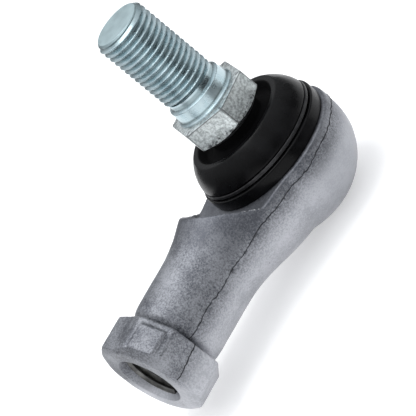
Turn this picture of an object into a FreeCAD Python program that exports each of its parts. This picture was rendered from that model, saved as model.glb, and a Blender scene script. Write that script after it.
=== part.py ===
import FreeCAD, Part
import math
import os
import Sketcher

# Ball joint tie rod end: an aluminium casting with a threaded socket holds a steel ball that is
# welded to a threaded, hexagon-collared stud.  The frame's origin is the ball's centre, +Z runs
# along the upright stud and the socket opens towards -X.  The casting's die line is near z = 0.

SIZES = [
    # ball, seats and the rings over them
    ("ballRadius", 9.525, "bearing ball, three quarters of an inch"),
    ("seatClearance", 0.03, "ball to seat, radial"),
    ("seatWall", 2.475, "wall of the seats beside the ball"),
    ("seatFloor", 1.475, "lower seat under the ball"),
    ("seatTaperDepth", 5.0, "ball centre down to where the lower seat starts to taper"),
    ("seatFootInset", 4.8, "foot of the lower seat, in from its side"),
    ("seatEdge", 0.25, "upper seat kept below the leaning shank's weld"),
    ("seatSplit", 0.15, "half of the gap between the two seats"),
    ("boreClearance", 0.03, "seats and rings to the housing's bore, radial"),
    ("stackGap", 0.04, "between pieces stacked along the stud's axis"),
    ("springInset", 0.4, "disc spring outside, in from the seat's foot"),
    ("springWidth", 3.3, "disc spring, outside less inside radius"),
    ("springPlate", 0.65, "disc spring thickness"),
    ("springHeight", 1.45, "disc spring height"),
    ("thrustThickness", 1.1, "thrust ring"),
    ("clipThickness", 1.2, "retaining ring"),
    ("clipWidth", 2.7, "retaining ring, outside less inside radius"),
    ("clipBite", 1.0, "depth of the retaining ring's groove"),
    ("clipOpening", 34.0, "open part of the retaining ring, degrees"),
    ("leanLimit", 20.0, "largest lean of the stud, degrees"),
    ("leanSpare", 2.0, "extra lean that the openings leave room for, degrees"),
    ("neckRoom", 0.2, "neck to the openings at that lean"),
    # stud, from the weld upwards
    ("neckRadius", 5.5, "shank below the hexagon"),
    ("hexFlats", 19.0, "hexagon across flats"),
    ("hexTurn", 9.0, "hexagon's turn about the stud, degrees"),
    ("hexHeight", 6.5, "hexagon"),
    ("hexFaceInset", 0.5, "round underside of the hexagon, in from its flats"),
    ("hexChamferAngle", 30.0, "slope of the corners under the hexagon, degrees"),
    ("ringStep", 0.75, "narrow ring, out from the collar"),
    ("ringHeight", 0.5, "narrow ring"),
    ("ringSlope", 0.7, "slope between ring and collar"),
    ("collarStep", 0.55, "plain collar, out from the thread"),
    ("collarHeight", 3.9, "hexagon to the top of the collar"),
    ("reliefDepth", 0.35, "relief between collar and thread"),
    ("reliefLength", 2.0, "relief"),
    ("reliefSlope", 0.5, "chamfer at each end of the relief"),
    ("threadRadius", 7.0, "M14 thread, major radius"),
    ("threadLength", 21.6, "thread with its end chamfer"),
    ("tipChamfer", 1.15, "chamfer at the end of the stud"),
    # housing around the ball
    ("spigotWall", 1.77, "spigot outside the retaining ring's groove"),
    ("spigotLip", 1.12, "spigot above the retaining ring"),
    ("rimWidth", 0.85, "ledge outside the boot's flange"),
    ("rimRound", 0.6, "rounding of the head's rim"),
    ("domeFlat", 2.2, "flat in the middle of the closed back, radius"),
    ("domeStart", 0.6, "ball centre down to where the back starts to round"),
    ("saddleGap", 5.65, "boot's flange to the wall around it"),
    ("saddleDraft", 13.0, "lean of that wall, degrees"),
    ("saddleReach", 26.0, "height that the wall is cut to"),
    # arm, as round sections that swell into the head
    ("neckLength", 8.0, "root to shoulder"),
    ("shoulderBack", 2.0, "foot of the saddle wall to the shoulder"),
    ("shoulderSwell", 1.35, "shoulder, out from the arm"),
    ("shoulderRise", 0.45, "shoulder, raised by"),
    ("throatInset", 1.2, "side of the head to the throat"),
    ("throatStep", 4.0, "throat, in from the head"),
    ("throatRise", 0.5, "throat, raised by"),
    ("cheekX", 6.0, "ball centre to the section inside the head"),
    ("cheekStep", 2.1, "that section, in from the head"),
    ("cheekRise", 0.9, "that section, raised by"),
    # socket end
    ("socketReach", 60.4, "ball centre to the socket's mouth"),
    ("nutLength", 9.4, "eight-sided end"),
    ("nutFlats", 24.0, "eight-sided end across flats"),
    ("nutStep", 1.5, "flats, out from the arm"),
    ("nutSideCut", 5.4, "upright flats, shortened at each corner"),
    ("nutTopCut", 7.2, "top and bottom flats, shortened at each corner"),
    ("nutFaceInset", 1.1, "round face at the mouth, in from the flats"),
    ("nutChamfer", 0.6, "corner chamfer at the mouth, on the flats"),
    ("nutChamferAngle", 28.0, "slope of that chamfer, degrees"),
    ("nutRootRound", 1.2, "fillet between arm and eight-sided end"),
    ("padHeight", 0.5, "raised pad on one slanting flat"),
    ("padMargin", 0.75, "slanting flat beside the pad"),
    ("padLength", 6.6, "raised pad along the arm"),
    ("padInset", 0.9, "mouth to the pad"),
    ("socketRadius", 6.25, "M14 x 1.5 socket thread at its crests"),
    ("socketDepth", 28.0, "socket thread"),
    ("drillPoint", 3.6, "cone at the bottom of the socket"),
    ("sinkStep", 1.15, "countersink at the mouth, out from the thread"),
    ("sinkDepth", 1.2, "countersink"),
    # boot and its rings
    ("bootGap", 0.05, "boot to the pieces it grips"),
    ("flangeWall", 2.5, "base flange, radial"),
    ("flangeHeight", 3.2, "base flange"),
    ("grooveWall", 1.25, "boot under the clamp ring, radial"),
    ("clampWire", 0.55, "clamp ring, wire radius"),
    ("clampSide", 0.125, "clamp ring to the sides of its groove"),
    ("beadDrop", 0.1, "top of the spigot down to the clamp groove"),
    ("domeWall", 1.4, "boot over the clamp groove, radial"),
    ("domeHeight", 5.9, "clamp groove to the lip"),
    ("domeLean", 3.15, "lip, in from the foot of the dome"),
    ("domeCurve", 10.0, "curve of the dome"),
    ("lipRound", 0.75, "roll of the lip"),
    ("bootWall", 1.5, "wall of the dome"),
    ("troughDepth", 2.0, "lip down to the lowest part of the mouth"),
    ("troughInset", 2.7, "that part, in from the lip"),
    ("webWall", 1.1, "wall of the mouth"),
    ("hexLift", 2.3, "lip to the underside of the hexagon"),
    ("sleeveWall", 1.8, "sleeve that grips the shank"),
    ("sleeveHeight", 1.6, "sleeve"),
    ("sleeveDrop", 0.3, "hexagon down to the sleeve"),
    ("garterWire", 0.35, "ring around the sleeve, wire radius"),
]


class Size:
    """A number together with the sheet formula that gives it."""

    def __init__(self, value, formula):
        self.value = value
        self.formula = formula

    def joined(self, sign, other, value):
        return Size(value, f"({self.formula} {sign} {other.formula})")

    def __add__(self, other):
        other = as_size(other)
        return self.joined("+", other, self.value + other.value)

    def __sub__(self, other):
        other = as_size(other)
        return self.joined("-", other, self.value - other.value)

    def __mul__(self, other):
        other = as_size(other)
        return self.joined("*", other, self.value * other.value)

    def __truediv__(self, other):
        other = as_size(other)
        return self.joined("/", other, self.value / other.value)

    def __neg__(self):
        return Size(-self.value, f"(-{self.formula})")


def as_size(value):
    return value if isinstance(value, Size) else Size(float(value), f"{value}")


def tan_of(angle):
    return Size(math.tan(math.radians(angle.value)), f"tan({angle.formula} * 1 deg)")


def cos_of(angle):
    return Size(math.cos(math.radians(angle.value)), f"cos({angle.formula} * 1 deg)")


def sin_of(angle):
    return Size(math.sin(math.radians(angle.value)), f"sin({angle.formula} * 1 deg)")


def root_of(square):
    return Size(math.sqrt(square.value), f"sqrt({square.formula})")


class Sizes:
    """The driving dimensions, as a spreadsheet and as named values."""

    def __init__(self, document):
        sheet = document.addObject("Spreadsheet::Sheet", "Sizes")
        for row, (alias, value, note) in enumerate(SIZES, start=1):
            sheet.set(f"A{row}", f"{value}")
            sheet.setAlias(f"A{row}", alias)
            sheet.set(f"B{row}", note)
            setattr(self, alias, Size(float(value), f"Sizes.{alias}"))


ZERO = as_size(0)


def new_body(name):
    body = doc.addObject("PartDesign::Body", name)
    body.Label = name
    return body


def origin_plane(body, role):
    return next(item for item in body.Origin.OriginFeatures if item.Role == role)


def new_sketch(body, name, role, offset=ZERO):
    """A sketch on one of the body's own origin planes, moved along the plane's normal."""
    sketch = body.newObject("Sketcher::SketchObject", name)
    sketch.AttachmentSupport = [(origin_plane(body, role), "")]
    sketch.MapMode = "FlatFace"
    if offset is not ZERO:
        sketch.setExpression("AttachmentOffset.Base.z", offset.formula)
    return sketch


def pin_point(sketch, edge, end, x, y):
    """Holds one end of a sketch edge at a place given by two sizes."""
    for axis, kind, place in ((-2, "DistanceX", x), (-1, "DistanceY", y)):
        if place is ZERO:
            sketch.addConstraint(Sketcher.Constraint("PointOnObject", edge, end, axis))
            continue
        index = sketch.addConstraint(Sketcher.Constraint(kind, -1, 1, edge, end, place.value))
        sketch.setExpression(f"Constraints[{index}]", place.formula)


def arc_between(start, stop, radius, side):
    """The short arc of a given radius from start to stop, its centre to the left for side +1."""
    chord = stop - start
    rise = math.sqrt(radius**2 - (chord.Length / 2) ** 2)
    left = FreeCAD.Vector(-chord.y, chord.x, 0).normalize()
    centre = (start + stop) / 2 + left * rise * side
    circle = Part.Circle(centre, FreeCAD.Vector(0, 0, 1), radius)
    first, last = (start, stop) if side > 0 else (stop, start)
    return Part.ArcOfCircle(circle, circle.parameter(first), circle.parameter(last))


def outline(sketch, corners):
    """A closed outline.  A corner is (x, y), or (x, y, radius, side) where an arc leaves it."""
    places = [FreeCAD.Vector(corner[0].value, corner[1].value, 0) for corner in corners]
    ends = []
    for number, corner in enumerate(corners):
        start, stop = places[number], places[(number + 1) % len(corners)]
        if len(corner) == 2:
            edge = sketch.addGeometry(Part.LineSegment(start, stop))
            ends.append((edge, 1, 2))
            continue
        radius, side = corner[2:]
        edge = sketch.addGeometry(arc_between(start, stop, radius.value, side))
        ends.append((edge, 1, 2) if side > 0 else (edge, 2, 1))
        index = sketch.addConstraint(Sketcher.Constraint("Radius", edge, radius.value))
        sketch.setExpression(f"Constraints[{index}]", radius.formula)
    for number, (edge, first, _) in enumerate(ends):
        before, _, last = ends[number - 1]
        sketch.addConstraint(Sketcher.Constraint("Coincident", before, last, edge, first))
        pin_point(sketch, edge, first, corners[number][0], corners[number][1])


def circle_in(sketch, radius, x=ZERO, y=ZERO):
    centre = FreeCAD.Vector(x.value, y.value, 0)
    edge = sketch.addGeometry(Part.Circle(centre, FreeCAD.Vector(0, 0, 1), radius.value))
    index = sketch.addConstraint(Sketcher.Constraint("Radius", edge, radius.value))
    sketch.setExpression(f"Constraints[{index}]", radius.formula)
    pin_point(sketch, edge, 3, x, y)


def turned(body, name, kind, corners, axis="V_Axis", angle=None):
    """A Revolution or Groove of an outline on the XZ plane, about the stud's or the arm's axis."""
    sketch = new_sketch(body, name + "Sketch", "XZ_Plane")
    outline(sketch, corners)
    feature = body.newObject("PartDesign::" + kind, name)
    feature.Profile = sketch
    feature.ReferenceAxis = (sketch, [axis])
    feature.Angle = 360
    if angle is not None:
        feature.setExpression("Angle", angle.formula)
    return feature


def primitive(body, name, kind, **sizes):
    feature = body.newObject("PartDesign::" + kind, name)
    for field, size in sizes.items():
        feature.setExpression(field, size.formula)
    return feature


def round_edges(body, name, radius, chosen):
    """A fillet on the body's edges for which chosen(edge) holds."""
    doc.recompute()
    base = body.Tip
    names = [f"Edge{n}" for n, edge in enumerate(base.Shape.Edges, start=1) if chosen(edge)]
    if not names:
        raise RuntimeError(f"{name}: no such edge")
    feature = body.newObject("PartDesign::Fillet", name)
    feature.Base = (base, names)
    feature.setExpression("Radius", radius.formula)
    return feature


def is_ring(edge, axis, radius, height):
    """Is the edge part of a circle about a row axis, with this radius, at this place on it?"""
    curve = edge.Curve
    if not isinstance(curve, Part.Circle) or abs(curve.Radius - radius.value) > 1e-4:
        return False
    along = abs(curve.Axis.dot(axis)) > 0.9999
    return along and abs(curve.Center.dot(axis) - height.value) < 1e-4


doc = FreeCAD.newDocument("TieRodEnd")
dim = Sizes(doc)
doc.recompute()
X_AXIS = FreeCAD.Vector(1, 0, 0)

# radii that several pieces share, from the ball outwards
lean = dim.leanLimit + dim.leanSpare
seatRadius = dim.ballRadius + dim.seatWall
seatFootRadius = seatRadius - dim.seatFootInset
springRadius = seatFootRadius - dim.springInset
boreRadius = seatRadius + dim.boreClearance
grooveRadius = boreRadius + dim.clipBite
spigotRadius = grooveRadius + dim.spigotWall
gripRadius = spigotRadius + dim.bootGap
flangeRadius = gripRadius + dim.flangeWall
headRadius = flangeRadius + dim.rimWidth
saddleFoot = flangeRadius + dim.saddleGap

# heights that several pieces share, from the closed back up to the stud's tip
seatFoot = -dim.ballRadius - dim.seatFloor
springTop = seatFoot - dim.stackGap
springFoot = springTop - dim.springHeight
boreFloor = springFoot - dim.stackGap
weldHeight = root_of(dim.ballRadius * dim.ballRadius - dim.neckRadius * dim.neckRadius)
seatTop = weldHeight * cos_of(lean) - dim.neckRadius * sin_of(lean) - dim.seatEdge
thrustFoot = seatTop + dim.stackGap
thrustTop = thrustFoot + dim.thrustThickness
clipFoot = thrustTop + dim.stackGap
clipTop = clipFoot + dim.clipThickness
spigotTop = clipTop + dim.spigotLip
beadTop = spigotTop - dim.beadDrop
flangeTop = beadTop - (dim.clampWire + dim.clampSide) * 2
bootFoot = flangeTop - dim.flangeHeight
ledgeHeight = bootFoot - dim.bootGap
lipHeight = beadTop + dim.domeHeight
hexFoot = lipHeight + dim.hexLift
hexTop = hexFoot + dim.hexHeight
collarTop = hexTop + dim.collarHeight
threadStart = collarTop + dim.reliefLength
tipHeight = threadStart + dim.threadLength
sleeveTop = hexFoot - dim.sleeveDrop
sleeveFoot = sleeveTop - dim.sleeveHeight
sleeveRadius = dim.neckRadius + dim.bootGap + dim.sleeveWall

# places along the arm
nutHalf = dim.nutFlats / 2
tubeRadius = nutHalf - dim.nutStep
nutBack = dim.socketReach - dim.nutLength
shoulderX = saddleFoot + dim.shoulderBack
neckRootX = shoulderX + dim.neckLength
throatX = headRadius - dim.throatInset


def build_arm(body):
    """The round arm and the swelling neck that carries it into the head."""
    arm = new_sketch(body, "ArmSketch", "YZ_Plane", -neckRootX)
    circle_in(arm, tubeRadius)
    pad = body.newObject("PartDesign::Pad", "Arm")
    pad.Profile = arm
    pad.Reversed = True
    pad.setExpression("Length", (dim.socketReach - neckRootX).formula)
    sections = [
        ("Root", neckRootX, tubeRadius, ZERO),
        ("Shoulder", shoulderX, tubeRadius + dim.shoulderSwell, dim.shoulderRise),
        ("Throat", throatX, headRadius - dim.throatStep, dim.throatRise),
        ("Cheek", dim.cheekX, headRadius - dim.cheekStep, dim.cheekRise),
    ]
    sketches = []
    for name, place, radius, rise in sections:
        sketch = new_sketch(body, name + "Section", "YZ_Plane", -place)
        circle_in(sketch, radius, ZERO, rise)
        sketches.append(sketch)
    neck = body.newObject("PartDesign::AdditiveLoft", "Neck")
    neck.Profile = sketches[0]
    neck.Sections = sketches[1:]


def build_head(body):
    """The closed head, the saddle wall and ledge around the boot, and the spigot it grips."""
    dome = headRadius - dim.domeFlat
    turned(body, "Head", "Revolution", [
        (ZERO, -dim.domeStart - dome),
        (dim.domeFlat, -dim.domeStart - dome, dome, 1),
        (headRadius, -dim.domeStart),
        (headRadius, ledgeHeight - dim.rimRound, dim.rimRound, 1),
        (headRadius - dim.rimRound, ledgeHeight),
        (ZERO, ledgeHeight),
    ])
    turned(body, "Saddle", "Groove", [
        (ZERO, ledgeHeight),
        (saddleFoot, ledgeHeight),
        (saddleFoot + (dim.saddleReach - ledgeHeight) * tan_of(dim.saddleDraft), dim.saddleReach),
        (ZERO, dim.saddleReach),
    ])
    turned(body, "Spigot", "Revolution", [
        (ZERO, ZERO),
        (spigotRadius, ZERO),
        (spigotRadius, spigotTop),
        (ZERO, spigotTop),
    ])


def build_socket_end(body):
    """The eight-sided end with its pad, and the fillet where it meets the arm."""
    sketch = new_sketch(body, "NutSketch", "YZ_Plane", -dim.socketReach)
    side, top = nutHalf - dim.nutSideCut, nutHalf - dim.nutTopCut
    outline(sketch, [
        (nutHalf, -side), (nutHalf, side), (top, nutHalf), (-top, nutHalf),
        (-nutHalf, side), (-nutHalf, -side), (-top, -nutHalf), (top, -nutHalf),
    ])
    pad = body.newObject("PartDesign::Pad", "NutEnd")
    pad.Profile = sketch
    pad.setExpression("Length", dim.nutLength.formula)
    build_pad(body)
    mouth = -dim.socketReach
    inside = nutHalf - dim.nutFaceInset
    outside = inside + dim.nutFlats / 2
    slant = (outside - inside) * tan_of(dim.nutChamferAngle)
    turned(body, "MouthChamfer", "Groove", [
        (mouth - dim.nutChamfer, inside),
        (mouth, inside),
        (mouth + slant, outside),
        (mouth - dim.nutChamfer, outside),
    ], axis="H_Axis")
    round_edges(body, "NutRoot", dim.nutRootRound,
                lambda edge: is_ring(edge, X_AXIS, tubeRadius, -nutBack))


def build_pad(body):
    """A plain raised pad on the slanting flat that faces -Y and +Z."""
    across, up = dim.nutTopCut, dim.nutSideCut
    slope = root_of(across * across + up * up)
    mid_y = -nutHalf + across / 2
    mid_z = nutHalf - up / 2
    half = slope / 2 - dim.padMargin
    along_y, along_z = across / slope * half, up / slope * half
    out_y, out_z = -up / slope * dim.padHeight, across / slope * dim.padHeight
    sketch = new_sketch(body, "PadSketch", "YZ_Plane", -dim.socketReach + dim.padInset)
    outline(sketch, [
        (mid_y - along_y, mid_z - along_z),
        (mid_y - along_y + out_y, mid_z - along_z + out_z),
        (mid_y + along_y + out_y, mid_z + along_z + out_z),
        (mid_y + along_y, mid_z + along_z),
        (mid_y - out_y, mid_z - out_z),
    ])
    pad = body.newObject("PartDesign::Pad", "RaisedPad")
    pad.Profile = sketch
    pad.setExpression("Length", dim.padLength.formula)


def build_hollows(body):
    """The stepped bore for the seats and rings, and the threaded socket."""
    recess = springRadius + dim.boreClearance
    shelf = seatFoot - dim.boreClearance
    turned(body, "SeatBore", "Groove", [
        (ZERO, boreFloor),
        (recess, boreFloor),
        (recess, shelf),
        (seatFootRadius + dim.boreClearance, shelf),
        (boreRadius, -dim.seatTaperDepth - dim.boreClearance),
        (boreRadius, clipFoot - dim.stackGap),
        (grooveRadius, clipFoot - dim.stackGap),
        (grooveRadius, clipTop + dim.stackGap),
        (boreRadius, clipTop + dim.stackGap),
        (boreRadius, spigotTop + dim.spigotLip),
        (ZERO, spigotTop + dim.spigotLip),
    ])
    mouth = -dim.socketReach
    turned(body, "Socket", "Groove", [
        (mouth - dim.sinkDepth, ZERO),
        (mouth - dim.sinkDepth, dim.socketRadius + dim.sinkStep * 2),
        (mouth + dim.sinkDepth, dim.socketRadius),
        (mouth + dim.socketDepth, dim.socketRadius),
        (mouth + dim.socketDepth + dim.drillPoint, ZERO),
    ], axis="H_Axis")


def build_housing():
    body = new_body("housing")
    build_arm(body)
    build_head(body)
    build_socket_end(body)
    build_hollows(body)
    return body


def build_stud():
    """The shank with its thread, relief, collar and ring, and the hexagon around it."""
    body = new_body("stud")
    collar = dim.threadRadius + dim.collarStep
    ring = collar + dim.ringStep
    relief = dim.threadRadius - dim.reliefDepth
    turned(body, "Shank", "Revolution", [
        (ZERO, weldHeight),
        (dim.neckRadius, weldHeight),
        (dim.neckRadius, hexTop - dim.ringHeight),
        (ring, hexTop - dim.ringHeight),
        (ring, hexTop + dim.ringHeight),
        (collar, hexTop + dim.ringHeight + dim.ringSlope),
        (collar, collarTop),
        (relief, collarTop + dim.reliefSlope),
        (relief, threadStart - dim.reliefSlope),
        (dim.threadRadius, threadStart),
        (dim.threadRadius, tipHeight - dim.tipChamfer),
        (dim.threadRadius - dim.tipChamfer, tipHeight),
        (ZERO, tipHeight),
    ])
    sketch = new_sketch(body, "HexSketch", "XY_Plane", hexFoot)
    corner = dim.hexFlats / 2 / cos_of(as_size(30))
    outline(sketch, [
        (corner * cos_of(dim.hexTurn + 60 * n), corner * sin_of(dim.hexTurn + 60 * n))
        for n in range(6)
    ])
    pad = body.newObject("PartDesign::Pad", "Hexagon")
    pad.Profile = sketch
    pad.setExpression("Length", dim.hexHeight.formula)
    face = dim.hexFlats / 2 - dim.hexFaceInset
    rise = (dim.hexFlats - face) * tan_of(dim.hexChamferAngle)
    turned(body, "HexChamfer", "Groove", [
        (face, hexFoot),
        (dim.hexFlats, hexFoot + rise),
        (dim.hexFlats, hexFoot),
    ])
    return body


def build_ball():
    """The bearing ball, with the flat that the shank is welded to."""
    body = new_body("ball")
    flat = Size(
        math.degrees(math.acos(dim.neckRadius.value / dim.ballRadius.value)),
        f"acos({dim.neckRadius.formula} / {dim.ballRadius.formula})",
    )
    primitive(body, "Sphere", "AdditiveSphere", Radius=dim.ballRadius, Angle2=flat)
    return body


def hollow_for_ball(body):
    primitive(body, "BallHollow", "SubtractiveSphere", Radius=dim.ballRadius + dim.seatClearance)


def build_lower_seat():
    body = new_body("lower_seat")
    turned(body, "Cup", "Revolution", [
        (ZERO, seatFoot),
        (seatFootRadius, seatFoot),
        (seatRadius, -dim.seatTaperDepth),
        (seatRadius, -dim.seatSplit),
        (ZERO, -dim.seatSplit),
    ])
    hollow_for_ball(body)
    return body


def build_upper_seat():
    body = new_body("upper_seat")
    turned(body, "Ring", "Revolution", [
        (dim.neckRadius, dim.seatSplit),
        (seatRadius, dim.seatSplit),
        (seatRadius, seatTop),
        (dim.neckRadius, seatTop),
    ])
    hollow_for_ball(body)
    return body


def build_preload_spring():
    """A disc spring, dished so that its inner edge carries the lower seat."""
    body = new_body("preload_spring")
    hole = springRadius - dim.springWidth
    turned(body, "Dish", "Revolution", [
        (springRadius, springFoot),
        (springRadius, springFoot + dim.springPlate),
        (hole, springTop),
        (hole, springTop - dim.springPlate),
    ])
    return body


def build_thrust_ring():
    """A flat ring whose hole lets the neck lean, and keeps clear of the ball."""
    body = new_body("thrust_ring")
    hole = thrustTop * tan_of(lean) + dim.neckRadius / cos_of(lean) + dim.neckRoom
    turned(body, "Washer", "Revolution", [
        (hole, thrustFoot),
        (seatRadius, thrustFoot),
        (seatRadius, thrustTop),
        (hole, thrustTop),
    ])
    return body


def build_retaining_ring():
    """An open ring sprung into the groove of the housing's bore."""
    body = new_body("retaining_ring")
    outside = grooveRadius - dim.boreClearance
    inside = outside - dim.clipWidth
    turned(body, "OpenRing", "Revolution", [
        (inside, clipFoot),
        (outside, clipFoot),
        (outside, clipTop),
        (inside, clipTop),
    ], angle=as_size(360) - dim.clipOpening)
    return body


def build_dust_boot():
    """The rubber boot: flange, clamp groove, dome, rolled lip, sunk mouth and grip sleeve."""
    body = new_body("dust_boot")
    groove = gripRadius + dim.grooveWall
    dome = gripRadius + dim.domeWall
    lip = dome - dim.domeLean
    lip_inside = lip - dim.lipRound * 1.9
    trough = lip - dim.troughInset
    low = lipHeight - dim.troughDepth
    shank = dim.neckRadius + dim.bootGap
    turned(body, "Bellows", "Revolution", [
        (gripRadius, bootFoot),
        (flangeRadius, bootFoot),
        (flangeRadius, flangeTop),
        (groove, flangeTop),
        (groove, beadTop),
        (dome, beadTop, dim.domeCurve, 1),
        (lip, lipHeight, dim.lipRound, 1),
        (lip_inside, lipHeight),
        (trough, low),
        (sleeveRadius, sleeveFoot),
        (sleeveRadius, sleeveTop),
        (shank, sleeveTop),
        (shank, sleeveFoot - dim.webWall),
        (trough - dim.webWall / 2, low - dim.webWall),
        (lip - dim.bootWall, low - dim.webWall / 2),
        (gripRadius, spigotTop + dim.bootGap),
    ])
    return body


def wire_ring(name, radius, wire, height):
    """A closed ring of round wire about the stud's axis."""
    body = new_body(name)
    ring = primitive(body, "Wire", "AdditiveTorus", Radius1=radius, Radius2=wire)
    ring.AttachmentSupport = [(origin_plane(body, "XY_Plane"), "")]
    ring.MapMode = "FlatFace"
    ring.setExpression("AttachmentOffset.Base.z", height.formula)
    return body


def build_boot_clamp():
    radius = gripRadius + dim.grooveWall + dim.bootGap + dim.clampWire
    return wire_ring("boot_clamp", radius, dim.clampWire, (flangeTop + beadTop) / 2)


def build_neck_ring():
    radius = sleeveRadius + dim.bootGap + dim.garterWire
    height = (sleeveFoot + sleeveTop) / 2 + dim.garterWire
    return wire_ring("neck_ring", radius, dim.garterWire, height)


def check(pieces):
    """Stops if anything failed to build or a piece isn't one valid solid."""
    for item in doc.Objects:
        if "Invalid" in item.State or "Error" in item.State:
            raise RuntimeError(f"{item.Name} did not build: {item.State}")
    for piece in pieces:
        shape = piece.Shape
        if shape.isNull() or not shape.isValid() or len(shape.Solids) != 1:
            raise RuntimeError(f"{piece.Label} is not one valid solid")
        print(f"{piece.Label}: {shape.Volume:.1f} mm3")


pieces = [
    build_housing(),
    build_stud(),
    build_ball(),
    build_lower_seat(),
    build_upper_seat(),
    build_preload_spring(),
    build_thrust_ring(),
    build_retaining_ring(),
    build_dust_boot(),
    build_boot_clamp(),
    build_neck_ring(),
]
doc.recompute()
check(pieces)
os.makedirs("parts", exist_ok=True)
for piece in pieces:
    piece.Shape.exportStep(f"parts/{piece.Label}.step")
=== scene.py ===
import math

import bpy
from mathutils import Matrix, Vector, noise


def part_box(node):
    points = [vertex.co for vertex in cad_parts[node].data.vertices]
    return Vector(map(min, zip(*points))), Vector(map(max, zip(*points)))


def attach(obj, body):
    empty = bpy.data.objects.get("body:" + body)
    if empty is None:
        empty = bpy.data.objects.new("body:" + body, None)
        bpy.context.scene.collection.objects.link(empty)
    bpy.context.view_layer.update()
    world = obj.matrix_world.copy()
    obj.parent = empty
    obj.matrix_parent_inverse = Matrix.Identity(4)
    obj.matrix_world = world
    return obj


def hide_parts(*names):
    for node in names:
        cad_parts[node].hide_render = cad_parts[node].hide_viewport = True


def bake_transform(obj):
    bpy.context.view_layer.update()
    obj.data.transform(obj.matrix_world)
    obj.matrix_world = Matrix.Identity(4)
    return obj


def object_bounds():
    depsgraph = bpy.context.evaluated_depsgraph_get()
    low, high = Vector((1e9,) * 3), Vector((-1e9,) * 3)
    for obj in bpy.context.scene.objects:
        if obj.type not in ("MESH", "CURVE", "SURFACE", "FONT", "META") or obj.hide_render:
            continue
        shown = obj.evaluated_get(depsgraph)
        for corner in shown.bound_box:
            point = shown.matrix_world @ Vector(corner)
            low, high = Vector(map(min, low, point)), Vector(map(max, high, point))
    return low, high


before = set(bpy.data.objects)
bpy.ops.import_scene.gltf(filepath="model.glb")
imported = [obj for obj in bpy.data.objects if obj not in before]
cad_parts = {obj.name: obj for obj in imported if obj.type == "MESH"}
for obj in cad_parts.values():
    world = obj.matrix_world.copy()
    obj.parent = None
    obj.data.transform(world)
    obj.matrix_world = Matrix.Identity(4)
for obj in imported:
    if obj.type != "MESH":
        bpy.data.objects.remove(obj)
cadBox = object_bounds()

mm = 0.001
turn = 2 * math.pi
middle = (Vector(cadBox[0]) + Vector(cadBox[1])) / 2
headLow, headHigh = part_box("housing")
studLow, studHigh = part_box("stud")
bootLow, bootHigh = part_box("dust_boot")
clampLow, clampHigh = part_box("boot_clamp")
garterLow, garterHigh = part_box("neck_ring")


def putDown():
    if bpy.context.object and bpy.context.object.mode != "OBJECT":
        bpy.ops.object.mode_set(mode="OBJECT")
    bpy.ops.object.select_all(action="DESELECT")


def takeUp(piece):
    putDown()
    piece.select_set(True)
    bpy.context.view_layer.objects.active = piece
    return piece


def settle(name):
    piece = bpy.context.object  # the primitive just added
    piece.name = name
    piece.data.name = name
    bpy.ops.object.transform_apply(location=True, rotation=True, scale=True)
    return piece


def pick(piece, kind, test):
    takeUp(piece)
    bpy.ops.object.mode_set(mode="EDIT")
    bpy.ops.mesh.select_mode(type=kind)
    bpy.ops.mesh.select_all(action="DESELECT")
    bpy.ops.object.mode_set(mode="OBJECT")
    parts = {"VERT": piece.data.vertices, "EDGE": piece.data.edges, "FACE": piece.data.polygons}[kind]
    for part in parts:
        part.select = test(part)
    bpy.ops.object.mode_set(mode="EDIT")


def finishWith(piece, kind, **settings):
    takeUp(piece)
    modifier = piece.modifiers.new(kind.title(), kind)
    for name, value in settings.items():
        setattr(modifier, name, value)
    bpy.ops.object.modifier_apply(modifier=modifier.name)
    return piece


def combine(piece, other, operation):
    finishWith(piece, "BOOLEAN", object=other, operation=operation, solver="EXACT")
    bpy.data.objects.remove(other)
    return piece


def copyOf(piece, name):
    twin = piece.copy()
    twin.data = piece.data.copy()
    twin.name = name
    bpy.context.scene.collection.objects.link(twin)
    return twin


def faceOut(piece, near=0.002 * mm):
    takeUp(piece)
    bpy.ops.object.mode_set(mode="EDIT")
    bpy.ops.mesh.select_all(action="SELECT")
    bpy.ops.mesh.remove_doubles(threshold=near)
    bpy.ops.mesh.normals_make_consistent(inside=False)
    bpy.ops.object.mode_set(mode="OBJECT")
    return piece


def smooth(piece, degrees):
    takeUp(piece)
    bpy.ops.object.shade_smooth_by_angle(angle=math.radians(degrees))
    return piece


def texture(name, size, depth=3):
    clouds = bpy.data.textures.new(name, "CLOUDS")
    clouds.noise_scale = size
    clouds.noise_depth = depth
    return clouds


# an outline's corners are (radius, height, rounding) in millimetres
def roundedOutline(corners, steps=5):
    points = []
    for index, corner in enumerate(corners):
        here = Vector(corner[:2])
        if len(corner) < 3:
            points.append(here)
            continue
        toLast = (Vector(corners[index - 1][:2]) - here).normalized()
        toNext = (Vector(corners[(index + 1) % len(corners)][:2]) - here).normalized()
        half = toLast.angle(toNext) / 2
        centre = here + (toLast + toNext).normalized() * corner[2] / math.sin(half)
        start = here + toLast * corner[2] / math.tan(half) - centre
        end = here + toNext * corner[2] / math.tan(half) - centre
        for step in range(steps + 1):
            points.append(centre + start.slerp(end, step / steps) * corner[2])
    return points


def drawOutline(name, points):
    putDown()
    bpy.ops.mesh.primitive_plane_add(size=mm)
    piece = settle(name)
    bpy.ops.object.mode_set(mode="EDIT")
    bpy.ops.mesh.select_mode(type="VERT")
    bpy.ops.mesh.select_all(action="SELECT")
    bpy.ops.mesh.merge(type="CENTER")
    bpy.ops.transform.translate(value=points[0])
    for last, here in zip(points, points[1:]):
        bpy.ops.mesh.extrude_region_move(TRANSFORM_OT_translate={"value": here - last})
    bpy.ops.object.mode_set(mode="OBJECT")
    return piece


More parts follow.
